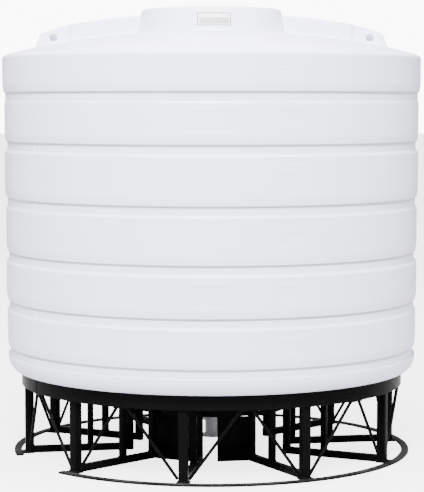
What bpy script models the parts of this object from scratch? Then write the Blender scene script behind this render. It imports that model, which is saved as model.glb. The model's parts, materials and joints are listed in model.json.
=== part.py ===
"""Cone-bottom vertical storage tank on a welded steel stand.

The tank is a moulded polyethylene shell: a grooved barrel, a low dome with a wide crown and two
lifting lugs, and a shallow cone underneath. The stand is a ring of ten radial steel frames
between a flat ring on the floor and a rolled band under the tank.

Metres, +Z up. The origin is on the floor at the tank's axis. The front is -Y, where azimuth 0
lies, and azimuths grow towards +X.
"""

import math

import bmesh
import bpy
from mathutils import Matrix, Vector

# Driving dimensions of the tank
WALL = 0.014
GROOVE_DEPTH = 0.024
GROOVE_TAPER = (0.010, 0.060)
GROOVE_STEP = 0.006
GROOVE_HEIGHT = 0.058
GROOVE_LEDGE = 0.016
GROOVE_TOPS = (3.140, 2.720, 2.237, 1.770, 1.348, 0.943)
STAVE_R = (1.822, 1.806, 1.806, 1.798, 1.798, 1.792, 1.787)
SPLIT_Z = 3.412
RIM_Z = 0.725
RIM_R = 1.660
RIM_FLAT = 0.030
CORNER_HEIGHT = 0.140
DOME_RISE = ((1.822, 3.432), (1.812, 3.450), (1.785, 3.463), (1.530, 3.526), (1.140, 3.596), (0.720, 3.645))
DOME_HOLE_R = 0.600
DOME_SPIGOT = (0.050, 3.440)
CROWN_TOP = 3.860
CROWN_R = 0.660
CROWN_SIDE = ((0.618, 3.824), (0.646, 3.660))
CROWN_EDGE = ((0.575, 3.860), (0.602, 3.850))
MANWAY_R = 0.235
LID_R = 0.285
LID_SINK = 0.030
LID_PLUG = (0.003, 0.030)
LID_RIM = ((0.080, 0.0), (0.070, 0.006), (0.012, 0.006), (0.0, 0.012))
CONE_SLOPE = math.radians(15)
OUTLET_R = 0.055
OUTLET_BORE_R = 0.040
OUTLET_PIPE_R = 0.057
OUTLET_RIM = 0.006
OUTLET_COLLAR = (0.110, 0.022, 0.030)
OUTLET_FLANGE = (0.085, 0.096, 0.120)

# Driving dimensions of the stand
FRAMES = 10
FIRST_AZIMUTH = -8.0
OPEN_BAY = (-75.5, -46.5)
LEG = 0.075
LEG_R = 1.6135
FOOT_HALF = 0.052
BAND_R = 1.672
BAND_BOTTOM = 0.600
BAND_PLATE = 0.008
BAND_LEG_LAP = 0.004
BAND_LIP_R = 1.700
RING_R = 1.742
RING_WIDTH = 0.064
RING_PLATE = 0.016
BEAM = 0.060
FRAME_DEPTH = 0.055
INNER_POST_R = 1.080
INNER_POST = 0.050
HUB_POST_R = 0.730
HUB_POST = 0.060
HUB_PANEL_PLATE = 0.012
HUB_PANEL_LEFT = 0.80
HUB_PANEL_RIGHT = 0.66
HUB_RING_PLATE = 0.012
HUB_RING_HEIGHT = 0.080
BRACE = 0.022
BRACE_TOP_SPREAD = 0.108
BRACE_PAD = (0.150, 0.040, 0.010)
BRACE_FOOT = (0.010, 0.004)

# Driving dimensions of the lifting lugs
LUG_WIDTH = 0.150
LUG_END_R = 1.530
LUG_TOP = ((0.623, 3.806), (0.900, 3.782), (1.150, 3.745), (1.350, 3.700), (1.430, 3.668))
LUG_NOSE = (1.485, 3.640)
LUG_EYE = (1.385, 3.618)
LUG_EYE_SIZE = 0.034

GAP = 0.0003
SIDES = 60

MATERIALS = {
    "white_polyethylene": ((0.78, 0.79, 0.81), 0.45, 0.0),
    "painted_steel": ((0.015, 0.015, 0.016), 0.42, 0.0),
    "black_fitting": ((0.03, 0.03, 0.03), 0.55, 0.0),
}


def clear_scene():
    """Removes what the file opens with."""
    for item in list(bpy.data.objects):
        bpy.data.objects.remove(item, do_unlink=True)


def new_collection(name):
    collection = bpy.data.collections.new(name)
    bpy.context.scene.collection.children.link(collection)
    return collection


def material(name, part):
    """A Principled material of one of the three finishes, for one sub-part."""
    colour, roughness, metallic = MATERIALS[name]
    made = bpy.data.materials.new(f"{part}_{name}")
    made.use_nodes = True
    shader = made.node_tree.nodes["Principled BSDF"]
    shader.inputs["Base Color"].default_value = (*colour, 1.0)
    shader.inputs["Roughness"].default_value = roughness
    shader.inputs["Metallic"].default_value = metallic
    return made


def add_part(name, mesh, finish, collection, smooth=False):
    """Links a mesh as the sub-part's object."""
    part = bpy.data.objects.new(name, mesh)
    collection.objects.link(part)
    part.data.materials.clear()
    part.data.materials.append(material(finish, name))
    if smooth:
        part.data.shade_smooth()
        part.data.set_sharp_from_angle(angle=math.radians(28))
    return part


def evaluated_mesh(helper):
    """The mesh of an object with its modifiers applied and its caps welded, in world space."""
    bpy.context.view_layer.update()
    graph = bpy.context.evaluated_depsgraph_get()
    mesh = bpy.data.meshes.new_from_object(helper.evaluated_get(graph))
    mesh.transform(helper.matrix_world)
    shape = bmesh.new()
    shape.from_mesh(mesh)
    bmesh.ops.remove_doubles(shape, verts=shape.verts, dist=0.00001)
    shape.to_mesh(mesh)
    shape.free()
    return mesh


def helper_object(name, mesh):
    """A wire-drawn helper that no render shows."""
    helper = bpy.data.objects.new(name, mesh)
    helper.hide_render = True
    helper.display_type = "WIRE"
    cutters.objects.link(helper)
    return helper


def drop(helper):
    bpy.data.objects.remove(helper, do_unlink=True)


def turned(profile, start=0.0, steps=SIDES):
    """A profile of (radius, height) points turned about Z, closed unless it ends on the axis."""
    mesh = bpy.data.meshes.new("profile")
    shape = bmesh.new()
    points = [shape.verts.new((radius, 0.0, height)) for radius, height in profile]
    for here, after in zip(points, points[1:]):
        shape.edges.new((here, after))
    if profile[-1][0] > 0.0:
        shape.edges.new((points[-1], points[0]))
    shape.to_mesh(mesh)
    shape.free()
    helper = helper_object("turning", mesh)
    helper.rotation_euler.z = math.radians(start)
    screw = helper.modifiers.new("turn", "SCREW")
    screw.steps = steps
    screw.render_steps = steps
    screw.use_merge_vertices = True
    screw.merge_threshold = 0.0001
    mesh = evaluated_mesh(helper)
    drop(helper)
    outward(mesh)
    return mesh


def outward(mesh):
    """Turns the faces of a closed mesh to the outside."""
    shape = bmesh.new()
    shape.from_mesh(mesh)
    bmesh.ops.recalc_face_normals(shape, faces=shape.faces)
    shape.to_mesh(mesh)
    shape.free()


def box_mesh(low, high):
    """A box between two corners."""
    mesh = bpy.data.meshes.new("box")
    shape = bmesh.new()
    bmesh.ops.create_cube(shape, size=1.0)
    low, high = Vector(low), Vector(high)
    for vertex in shape.verts:
        for axis in range(3):
            vertex.co[axis] = low[axis] if vertex.co[axis] < 0 else high[axis]
    shape.to_mesh(mesh)
    shape.free()
    return mesh


def plate_mesh(outlines, thickness):
    """Outlines in X and Z, the first with the others as holes, given a thickness along Y."""
    curve = bpy.data.curves.new("outline", "CURVE")
    curve.dimensions = "2D"
    curve.fill_mode = "BOTH"
    curve.extrude = thickness / 2
    for outline in outlines:
        spline = curve.splines.new("POLY")
        spline.points.add(len(outline) - 1)
        for point, (x, z) in zip(spline.points, outline):
            point.co = (x, z, 0.0, 1.0)
        spline.use_cyclic_u = True
    helper = helper_object("plate", curve)
    helper.rotation_euler.x = math.radians(90)
    mesh = evaluated_mesh(helper)
    drop(helper)
    outward(mesh)
    return mesh


def rod_mesh(start, end, diameter, sides=8):
    """A round bar between two points."""
    start, end = Vector(start), Vector(end)
    mesh = bpy.data.meshes.new("rod")
    shape = bmesh.new()
    bmesh.ops.create_cone(
        shape, cap_ends=True, segments=sides, radius1=diameter / 2, radius2=diameter / 2,
        depth=(end - start).length,
    )
    turn = Vector((0, 0, 1)).rotation_difference(end - start).to_matrix().to_4x4()
    bmesh.ops.transform(shape, verts=shape.verts, matrix=Matrix.Translation((start + end) / 2) @ turn)
    shape.to_mesh(mesh)
    shape.free()
    return mesh


def combined(meshes, operation="UNION"):
    """The first mesh with each of the others joined to it or cut from it."""
    base = helper_object("base", meshes[0])
    others = [helper_object("other", mesh) for mesh in meshes[1:]]
    for other in others:
        boolean = base.modifiers.new("join", "BOOLEAN")
        boolean.operation = operation
        boolean.solver = "EXACT"
        boolean.object = other
    mesh = evaluated_mesh(base)
    for helper in [base, *others]:
        drop(helper)
    return mesh


def azimuth_turn(azimuth):
    """The turn about Z that takes local +X to an azimuth."""
    return math.radians(azimuth - 90.0)


def at_azimuth(radius, azimuth, height):
    angle = azimuth_turn(azimuth)
    return Vector((radius * math.cos(angle), radius * math.sin(angle), height))


def cone_under(radius):
    """Height of the cone's underside."""
    return RIM_Z - (RIM_R - GAP - radius) * math.tan(CONE_SLOPE)


def dome_top(radius):
    """Height of the dome's outside between its profile points."""
    for (outer_r, low), (inner_r, high) in zip(DOME_RISE, DOME_RISE[1:]):
        if inner_r <= radius <= outer_r:
            return low + (high - low) * (outer_r - radius) / (outer_r - inner_r)
    return DOME_RISE[-1][1]


def barrel_profile():
    """The outside from the top down with its six grooves, the round bottom corner, then the inside.

    Each stave tapers in towards its lower edge, steps in to the groove's upright floor, and the
    next stave starts at a narrow ledge.
    """
    points = [(STAVE_R[0], SPLIT_Z)]
    taper_in, taper_height = GROOVE_TAPER
    for top, above, below in zip(GROOVE_TOPS, STAVE_R, STAVE_R[1:]):
        floor_r = above - GROOVE_DEPTH
        points.append((above, top + taper_height))
        points.append((above - taper_in, top))
        points.append((floor_r, top - GROOVE_STEP))
        points.append((floor_r, top - GROOVE_HEIGHT))
        points.append((below, top - GROOVE_HEIGHT - GROOVE_LEDGE))
    corner_r = STAVE_R[-1] - RIM_R - RIM_FLAT
    for step in range(1, 6):
        angle = math.radians(90) * step / 5
        out = RIM_R + RIM_FLAT + corner_r * math.cos(angle)
        points.append((out, RIM_Z + CORNER_HEIGHT * (1 - math.sin(angle))))
    inside_r = STAVE_R[-1] - GROOVE_DEPTH - WALL
    points.append((RIM_R, RIM_Z))
    points.append((RIM_R, RIM_Z + WALL))
    points.append((RIM_R + RIM_FLAT, RIM_Z + WALL))
    points.append((inside_r, RIM_Z + CORNER_HEIGHT))
    points.append((inside_r, SPLIT_Z))
    return points


def make_barrel():
    add_part("tank_barrel", turned(barrel_profile()), "white_polyethylene", parts, smooth=True)


def make_dome():
    """The moulded shoulder and dome, open in the middle under the crown."""
    outside = [*reversed(DOME_RISE), (STAVE_R[0], SPLIT_Z + GAP)]
    inset, spigot_top = DOME_SPIGOT
    spigot_r = STAVE_R[0] - inset
    crest_r, crest_z = DOME_RISE[-1]
    profile = [
        (DOME_HOLE_R, crest_z), *outside, (spigot_r, SPLIT_Z + GAP), (spigot_r, spigot_top),
        *((radius - WALL / 2, height - WALL) for radius, height in DOME_RISE[3:-1]),
        (crest_r, crest_z - WALL), (DOME_HOLE_R, crest_z - WALL),
    ]
    add_part("tank_dome", turned(profile), "white_polyethylene", parts, smooth=True)


def make_crown():
    """The wide raised neck, with a sunk seat round the manway."""
    foot = DOME_RISE[-1][1] + GAP
    seat = CROWN_TOP - LID_SINK
    seat_r = LID_R + WALL
    under = seat - WALL
    profile = [
        (MANWAY_R, seat), (seat_r, seat), (seat_r, CROWN_TOP), *CROWN_EDGE, *CROWN_SIDE,
        (CROWN_R, foot), (CROWN_SIDE[1][0] - 2 * WALL, foot), (CROWN_SIDE[0][0] - WALL, under),
        (CROWN_EDGE[0][0], CROWN_TOP - WALL), (seat_r + WALL, CROWN_TOP - WALL),
        (seat_r + WALL, under), (MANWAY_R, under),
    ]
    add_part("tank_crown", turned(profile), "white_polyethylene", parts, smooth=True)


def make_lid():
    """The manway cover, sunk in the crown."""
    seat = CROWN_TOP - LID_SINK + GAP
    play, plug = LID_PLUG
    profile = [
        (0.0, CROWN_TOP), *((LID_R - inset, CROWN_TOP - drop_by) for inset, drop_by in LID_RIM),
        (LID_R, seat), (MANWAY_R - play, seat), (MANWAY_R - play, seat - plug), (0.0, seat - plug),
    ]
    add_part("manway_lid", turned(profile, steps=36), "white_polyethylene", parts, smooth=True)


def make_cone():
    """The shallow cone floor, with the hole for the outlet in its middle."""
    outer = RIM_R - GAP
    profile = [
        (outer, RIM_Z + WALL), (outer, RIM_Z),
        (OUTLET_R + GAP, cone_under(OUTLET_R)), (OUTLET_R + GAP, cone_under(OUTLET_R) + WALL),
    ]
    add_part("tank_cone", turned(profile), "white_polyethylene", parts, smooth=True)


def make_outlet():
    """The bottom drain: a flanged nozzle through the cone."""
    collar_r, collar_height, collar_drop = OUTLET_COLLAR
    flange_r, flange_low, flange_top = OUTLET_FLANGE
    top = cone_under(OUTLET_R) + WALL + OUTLET_RIM
    collar = cone_under(collar_r) - collar_drop
    profile = [
        (OUTLET_BORE_R, top), (OUTLET_R, top), (OUTLET_R, collar), (collar_r, collar),
        (collar_r, collar - collar_height), (OUTLET_PIPE_R, collar - collar_height),
        (OUTLET_PIPE_R, flange_top), (flange_r, flange_top), (flange_r, flange_low),
        (OUTLET_BORE_R, flange_low),
    ]
    add_part("outlet_nozzle", turned(profile, steps=24), "black_fitting", parts, smooth=True)


def make_lugs():
    """Two radial ribs on the dome, each with a lifting eye near its outer end."""
    base = [CROWN_R + 2 * GAP, DOME_RISE[-1][0], DOME_RISE[-2][0], LUG_END_R]
    below = [(x, dome_top(x) + 2 * GAP) for x in base]
    waist_r, waist_z = CROWN_SIDE[1]
    outline = [*below, LUG_NOSE, *reversed(LUG_TOP), (waist_r + 2 * GAP, waist_z)]
    eye_x, eye_z = LUG_EYE
    eye = []
    for corner in range(5):
        angle = math.radians(90 + 72 * corner)
        eye.append((eye_x + LUG_EYE_SIZE * math.cos(angle), eye_z + LUG_EYE_SIZE * math.sin(angle)))
    rib = plate_mesh([outline, eye], LUG_WIDTH)
    for name, turn in (("lifting_lug_right", 0), ("lifting_lug_left", 180)):
        part = add_part(name, rib.copy(), "white_polyethylene", parts)
        part.rotation_euler.z = math.radians(turn)


def make_band():
    """The rolled steel band that the tank's rim and the edge of its cone sit on, with an outer lip."""
    inner = LEG_R - LEG / 2 + BAND_LEG_LAP
    top = RIM_Z - GAP
    profile = [
        (RIM_R, top), (BAND_LIP_R, top), (BAND_LIP_R, top - BAND_PLATE), (BAND_R, top - BAND_PLATE),
        (BAND_R, BAND_BOTTOM), (inner, BAND_BOTTOM), (inner, cone_under(inner) - 2 * GAP),
    ]
    add_part("top_band", turned(profile), "painted_steel", parts, smooth=True)


def frame_azimuths():
    return [FIRST_AZIMUTH + 360.0 / FRAMES * index for index in range(FRAMES)]


def make_base_ring():
    """The flat ring on the floor, open at one bay."""
    inner = RING_R - RING_WIDTH
    profile = [(inner, RING_PLATE), (RING_R, RING_PLATE), (RING_R, 0.0), (inner, 0.0)]
    opening = [(0.0, 0.0), *((2 * at_azimuth(RING_R, azimuth, 0.0)).to_2d() for azimuth in OPEN_BAY)]
    wedge = plate_mesh([opening], 4 * RING_PLATE)
    wedge.transform(Matrix.Rotation(math.radians(-90), 4, "X"))
    ring = combined([turned(profile), wedge], "DIFFERENCE")
    add_part("base_ring", ring, "painted_steel", parts)


def make_legs():
    """Ten square outer legs up to the band, each on a foot plate that reaches out to the ring."""
    inner = LEG_R - LEG / 2
    plate_out = (RING_R - RING_WIDTH) * math.cos(math.pi / SIDES) - FOOT_HALF ** 2 / (2 * RING_R) - GAP
    outline = [
        (inner, 0.0), (plate_out, 0.0), (plate_out, RING_PLATE),
        (LEG_R + LEG / 2, RING_PLATE), (LEG_R + LEG / 2, BAND_BOTTOM - GAP), (inner, BAND_BOTTOM - GAP),
    ]
    leg = plate_mesh([outline], LEG)
    plate = box_mesh((inner + 0.001, -FOOT_HALF, 0.0), (plate_out, FOOT_HALF, RING_PLATE))
    mesh = combined([leg, plate])
    for index, azimuth in enumerate(frame_azimuths(), 1):
        part = add_part(f"leg_{index:02d}", mesh.copy(), "painted_steel", parts)
        part.rotation_euler.z = azimuth_turn(azimuth)


def radial_frame_mesh():
    """A base beam, two posts and the sloping arm that lies under the cone, welded in one plane."""
    hub_in = HUB_POST_R - HUB_POST / 2
    hub_out = HUB_POST_R + HUB_POST / 2
    post_in = INNER_POST_R - INNER_POST / 2
    post_out = INNER_POST_R + INNER_POST / 2
    beam_end = LEG_R - LEG / 2 - 2 * GAP
    band_in = (LEG_R - LEG / 2 + BAND_LEG_LAP) * math.cos(math.pi / SIDES)
    arm_end = band_in - 2 * GAP

    def arm_top(x):
        return (x, cone_under(x) - 2 * GAP)

    def arm_bottom(x):
        return (x, cone_under(x) - BEAM)

    outline = [
        (hub_in, 0.0), (beam_end, 0.0), (beam_end, BEAM), (post_out, BEAM), arm_bottom(post_out),
        arm_bottom(arm_end), arm_top(arm_end), arm_top(hub_in),
    ]
    window = [(hub_out, BEAM), (post_in, BEAM), arm_bottom(post_in), arm_bottom(hub_out)]
    return plate_mesh([outline, window], FRAME_DEPTH)


def make_frames():
    mesh = radial_frame_mesh()
    for index, azimuth in enumerate(frame_azimuths(), 1):
        part = add_part(f"radial_frame_{index:02d}", mesh.copy(), "painted_steel", parts)
        part.rotation_euler.z = azimuth_turn(azimuth)


def make_braces():
    """In each bay two round bars rise from the feet of its legs to a pad under the band."""
    half_bay = 180.0 / FRAMES
    pad_r = BAND_R - BAND_PLATE - BRACE_PAD[1] / 2
    pad_top = BAND_BOTTOM - GAP
    foot_clear, foot_lift = BRACE_FOOT
    for index, azimuth in enumerate(frame_azimuths(), 1):
        middle = azimuth + half_bay
        spread = math.degrees(BRACE_TOP_SPREAD / 2 / pad_r)
        pad = box_mesh(
            (pad_r - BRACE_PAD[1] / 2, -BRACE_PAD[0] / 2, pad_top - BRACE_PAD[2]),
            (pad_r + BRACE_PAD[1] / 2, BRACE_PAD[0] / 2, pad_top),
        )
        pad.transform(Matrix.Rotation(azimuth_turn(middle), 4, "Z"))
        shapes = [pad]
        for side in (-1, 1):
            foot_azimuth = middle + side * half_bay
            foot = at_azimuth(LEG_R, foot_azimuth, RING_PLATE + BRACE / 2 + foot_lift)
            along = at_azimuth(1.0, foot_azimuth - side * 90.0, 0.0)
            foot += along * (LEG / 2 + foot_clear)
            head = at_azimuth(pad_r, middle + side * spread, pad_top - BRACE_PAD[2])
            shapes.append(rod_mesh(foot, head, BRACE))
        add_part(f"brace_pair_{index:02d}", combined(shapes), "painted_steel", parts)


def hub_ring_outer():
    """Corner radius of the hub ring, whose flats touch the hub posts."""
    return (HUB_POST_R - HUB_POST / 2 - GAP) / math.cos(math.pi / FRAMES)


def hub_ring_bottom():
    flat_inside = (hub_ring_outer() - HUB_RING_PLATE) * math.cos(math.pi / FRAMES)
    return cone_under(flat_inside) - GAP - HUB_RING_HEIGHT


def make_hub_ring():
    """A ten-sided ring that ties the inner ends of the frames together under the cone."""
    outer = hub_ring_outer()
    inner = outer - HUB_RING_PLATE
    low = hub_ring_bottom()
    top = low + HUB_RING_HEIGHT
    profile = [(inner, top), (outer, top), (outer, low), (inner, low)]
    mesh = turned(profile, start=FIRST_AZIMUTH - 90.0 + 180.0 / FRAMES, steps=FRAMES)
    add_part("hub_ring", mesh, "painted_steel", parts)


def make_hub_panels():
    """Two upright plates that close most of the two front bays between the hub posts."""
    for name, outer_azimuth, other_azimuth, share in (
        ("hub_panel_left", FIRST_AZIMUTH - 360.0 / FRAMES, FIRST_AZIMUTH, HUB_PANEL_LEFT),
        ("hub_panel_right", FIRST_AZIMUTH + 360.0 / FRAMES, FIRST_AZIMUTH, HUB_PANEL_RIGHT),
    ):
        start = at_azimuth(HUB_POST_R, outer_azimuth, 0.0)
        end = at_azimuth(HUB_POST_R, other_azimuth, 0.0)
        along = (end - start).normalized()
        skew = math.pi / FRAMES
        clear = (FRAME_DEPTH / 2 + HUB_PANEL_PLATE / 2 * math.sin(skew)) / math.cos(skew) + GAP
        begin = start + along * clear
        length = (end - start).length * share - clear
        mesh = box_mesh(
            (0.0, -HUB_PANEL_PLATE / 2, 0.0),
            (length, HUB_PANEL_PLATE / 2, hub_ring_bottom() - GAP),
        )
        part = add_part(name, mesh, "painted_steel", parts)
        part.location = begin
        part.rotation_euler.z = math.atan2(along.y, along.x)


clear_scene()
parts = new_collection("storage_tank")
cutters = new_collection("cutters")
make_barrel()
make_dome()
make_crown()
make_lid()
make_cone()
make_outlet()
make_lugs()
make_band()
make_base_ring()
make_legs()
make_frames()
make_braces()
make_hub_ring()
make_hub_panels()
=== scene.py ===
"""Looks of a cone-bottom storage tank on a welded steel stand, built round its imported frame."""

import json
import math
import random

import bmesh
import bpy
from mathutils import Matrix, Vector, noise

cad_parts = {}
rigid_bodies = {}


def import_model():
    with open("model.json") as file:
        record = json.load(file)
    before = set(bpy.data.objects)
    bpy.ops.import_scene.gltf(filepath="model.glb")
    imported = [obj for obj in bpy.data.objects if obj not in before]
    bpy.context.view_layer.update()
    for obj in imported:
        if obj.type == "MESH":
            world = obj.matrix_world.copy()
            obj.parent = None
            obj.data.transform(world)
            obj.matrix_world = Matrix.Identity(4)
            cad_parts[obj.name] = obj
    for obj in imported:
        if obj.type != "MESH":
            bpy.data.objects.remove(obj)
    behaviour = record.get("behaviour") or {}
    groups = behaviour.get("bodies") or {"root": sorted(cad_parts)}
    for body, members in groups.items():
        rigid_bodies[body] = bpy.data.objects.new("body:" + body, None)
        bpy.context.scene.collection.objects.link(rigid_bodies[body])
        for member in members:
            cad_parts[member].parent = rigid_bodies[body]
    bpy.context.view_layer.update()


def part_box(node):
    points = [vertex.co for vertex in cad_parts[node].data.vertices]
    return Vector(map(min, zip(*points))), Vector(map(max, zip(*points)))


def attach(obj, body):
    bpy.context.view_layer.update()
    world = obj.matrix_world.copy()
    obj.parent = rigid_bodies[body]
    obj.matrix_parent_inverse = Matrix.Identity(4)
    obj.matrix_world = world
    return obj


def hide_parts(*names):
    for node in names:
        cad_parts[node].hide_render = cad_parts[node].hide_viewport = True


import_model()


# Studio: a pale floor, a pale sky and large soft lamps. The lens is long, and stands 16 m in front
# of the tank's axis and 3 m up.

TANK_R = 1.800
LENS_DISTANCE = 9.0 * TANK_R
LENS_HEIGHT = 1.70 * TANK_R
LENS_PITCH = math.radians(4.49)
LENS_MM = 134.8
AXIS_SHIFT = 0.0045
TANK_MIDDLE = (0.0, 0.0, 2.0)
FLOOR_REACH = 160.0
FLOOR_GREY = 0.55

# How strongly the sky lights the tank, and how much more the sky and the floor shine to the lens.
SKY_LEVEL, BACKDROP_EXTRA = 0.75, 9.5
FLOOR_GLOW = 3.6

yard = bpy.context.scene.collection.objects

camera_data = bpy.data.cameras.new("yard_lens")
camera_data.lens = LENS_MM
camera_data.sensor_width = 36.0
camera_data.clip_end = 400.0
camera = bpy.data.objects.new("yard_lens", camera_data)
camera.location = (AXIS_SHIFT, -LENS_DISTANCE, LENS_HEIGHT)
camera.rotation_euler = (math.radians(90) - LENS_PITCH, 0.0, 0.0)
yard.link(camera)
bpy.context.scene.camera = camera


def soft_lamp(name, place, size, power, tint=(1.0, 1.0, 1.0)):
    """A square area lamp at a place, turned towards the tank's middle."""
    lamp = bpy.data.lights.new(name, "AREA")
    lamp.shape = "SQUARE"
    lamp.size = size
    lamp.energy = power
    lamp.color = tint
    holder = bpy.data.objects.new(name, lamp)
    holder.location = place
    aim = Vector(TANK_MIDDLE) - Vector(place)
    holder.rotation_euler = aim.to_track_quat("-Z", "Y").to_euler()
    holder.visible_camera = False
    yard.link(holder)


soft_lamp("front_bank", (-1.0, -11.5, 12.5), 4.5, 8200.0)
soft_lamp("overhead_bank", (0.0, -2.0, 13.0), 6.0, 2000.0, (1.0, 0.99, 0.98))
soft_lamp("left_bank", (-11.0, -5.0, 10.0), 4.5, 1500.0)
soft_lamp("right_bank", (11.0, -5.0, 10.0), 4.5, 1500.0, (0.98, 0.99, 1.0))
soft_lamp("rear_bank", (0.0, 11.0, 13.0), 7.0, 1800.0)


def wire(tree, source, output, target, entry):
    tree.links.new(source.outputs[output], target.inputs[entry])


def set_inputs(node, *values):
    """Gives inputs their values, as (name or number, value) pairs."""
    for entry, value in values:
        node.inputs[entry].default_value = value


def add_node(tree, kind, *values, **settings):
    """A node with plain attributes, and values for its inputs as (name or number, value)."""
    node = tree.nodes.new(kind)
    for key, value in settings.items():
        setattr(node, key, value)
    set_inputs(node, *values)
    return node


def sums(tree, operation, *sources):
    """A Math node's (node, output) pair, its inputs being such pairs or numbers."""
    node = add_node(tree, "ShaderNodeMath", operation=operation)
    for entry, source in enumerate(sources):
        if isinstance(source, tuple):
            wire(tree, *source, node, entry)
        else:
            set_inputs(node, (entry, source))
    return node, 0


def new_paint(name):
    """A new material, its tree and its shader."""
    paint = bpy.data.materials.new(name)
    paint.use_nodes = True
    return paint, paint.node_tree, paint.node_tree.nodes["Principled BSDF"]


def brighter_to_lens(tree, extra, level, target, entry):
    """Sets how strongly something shines, with an extra amount where the lens sees it straight."""
    ray = add_node(tree, "ShaderNodeLightPath")
    wire(tree, *sums(tree, "MULTIPLY_ADD", (ray, "Is Camera Ray"), extra, level), target, entry)


sky = bpy.data.worlds.new("pale_sky")
sky.use_nodes = True
sky_light = sky.node_tree.nodes["Background"]
set_inputs(sky_light, ("Color", (0.96, 0.97, 1.0, 1.0)))
brighter_to_lens(sky.node_tree, BACKDROP_EXTRA, SKY_LEVEL, sky_light, "Strength")
bpy.context.scene.world = sky

floor_mesh = bpy.data.meshes.new("studio_floor")
floor_shape = bmesh.new()
bmesh.ops.create_grid(floor_shape, x_segments=1, y_segments=1, size=FLOOR_REACH)
floor_shape.to_mesh(floor_mesh)
floor_shape.free()
floor = bpy.data.objects.new("studio_floor", floor_mesh)
floor.location.z = -0.001
yard.link(floor)

floor_paint, floor_tree, floor_shader = new_paint("floor_paint")
set_inputs(
    floor_shader, ("Base Color", (FLOOR_GREY, FLOOR_GREY, FLOOR_GREY, 1.0)), ("Roughness", 0.8),
    ("Emission Color", (1.0, 1.0, 1.0, 1.0)),
)
brighter_to_lens(floor_tree, FLOOR_GLOW, 0.0, floor_shader, "Emission Strength")
floor_mesh.materials.append(floor_paint)


# Tank barrel: the upright wall of the one-piece moulding, about 13 mm of white polyethylene.
# Seven staves lie between six grooves, and shallow panels are sunk in the staves by the mould.

WALL = 0.013
GROOVE_TOPS = (3.140, 2.720, 2.237, 1.770, 1.348, 0.943)
STAVE_R = (1.822, 1.806, 1.806, 1.798, 1.798, 1.792, 1.787)
GROOVE_DEPTH = 0.024
TAPER_IN, TAPER_HEIGHT = 0.010, 0.060
GROOVE_STEP = 0.006
GROOVE_HEIGHT = 0.074
GROOVE_LEDGE = 0.021
GROOVE_ROUNDS = (0.060, 0.004, 0.005, 0.004, 0.006)
RIM_R = 1.660
RIM_FLAT = 0.030
CORNER_HEIGHT = 0.140
CORNER_STEPS = 14
COLUMNS = 240
ROW_CLEAR = 0.0005
TOP_FLAT = 0.050
RIM_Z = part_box("tank_barrel")[0][2]
SPLIT_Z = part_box("tank_barrel")[1][2]

# Sunk panels: middle azimuth and width in degrees, then top and bottom heights in metres. Two
# are wide and blank, and a column of small ones runs down beside them.
PANEL_DEPTH = 0.0035
PANEL_EDGE = 0.005
PANEL_LIP = 0.003
PANELS = [(0.5, 12.6, 2.984, 2.822), (0.5, 12.6, 1.607, 1.444)] + [
    (20.3, 6.6, top, bottom) for top, bottom in (
        (3.385, 3.325), (2.984, 2.885), (2.616, 2.568), (2.481, 2.374), (2.132, 2.083),
        (2.019, 1.912), (1.663, 1.623), (1.594, 1.480), (1.238, 1.195), (1.150, 1.060),
    )
]

# How much of the white the painted shade under each groove's ledge leaves, at heights counted from
# the ledge.
GROOVE_SHADE = ((-0.026, 1.0), (-0.016, 0.62), (-0.002, 0.62), (0.004, 1.0))

# The wall's slight waviness, which dies out near its two ends.
WAVE_DEPTH = 0.0016
WAVE_ACROSS, WAVE_UP = 1.6, 1.1
WAVE_FADE = 0.10

# The mould's two halves part here, and leave a low fin in each groove.
PARTING = (-54.8, 125.2)
FIN_HALF = 0.22
FIN_HEIGHT = 0.005


def eased(points, radii, steps=5):
    """An open outline of (radius, height) points with each inner corner rounded."""
    done = [points[0]]
    for before, corner, after, radius in zip(points, points[1:], points[2:], radii):
        here = Vector(corner)
        to_before = Vector(before) - here
        to_after = Vector(after) - here
        turn = math.pi - to_before.angle(to_after)
        if radius <= 0.0 or turn < 0.01:
            done.append(corner)
            continue
        reach = min(radius * math.tan(turn / 2), 0.48 * to_before.length, 0.48 * to_after.length)
        start = here + to_before.normalized() * reach
        end = here + to_after.normalized() * reach
        for step in range(steps + 1):
            t = step / steps
            blend = start * (1 - t) ** 2 + here * 2 * t * (1 - t) + end * t ** 2
            done.append((blend.x, blend.y))
    done.append(points[-1])
    return done


def on_ring(radius, azimuth, height):
    """A point at an azimuth in radians, counted from the front towards +X."""
    return Vector((radius * math.sin(azimuth), -radius * math.cos(azimuth), height))


def even_azimuths(count):
    return [2 * math.pi * index / count for index in range(count)]


def mesh_of(shape, name):
    """Turns the faces outwards and makes the mesh."""
    bmesh.ops.recalc_face_normals(shape, faces=shape.faces)
    mesh = bpy.data.meshes.new(name)
    shape.to_mesh(mesh)
    shape.free()
    return mesh


def stitch(shape, here, after):
    """Faces between two closed rings of vertices."""
    for index in range(len(here)):
        ahead = (index + 1) % len(here)
        shape.faces.new((here[index], here[ahead], after[ahead], after[index]))


def skin_rings(shape, rings, closed=False):
    """Faces through a row of rings, which closes on itself or is capped at both ends."""
    for pair in zip(rings, rings[1:] + rings[:1] if closed else rings[1:]):
        stitch(shape, *pair)
    if not closed:
        shape.faces.new(rings[0])
        shape.faces.new(rings[-1])


def turned_mesh(name, outline, azimuths, sink=None, sunk_rows=0):
    """A closed outline turned about the axis; sink presses its first rows in."""
    shape = bmesh.new()
    rings = []
    for azimuth in azimuths:
        rings.append([])
        for index, (radius, height) in enumerate(outline):
            if index < sunk_rows:
                radius -= sink(azimuth, height)
            rings[-1].append(shape.verts.new(on_ring(radius, azimuth, height)))
    skin_rings(shape, rings, closed=True)
    return mesh_of(shape, name)


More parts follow.
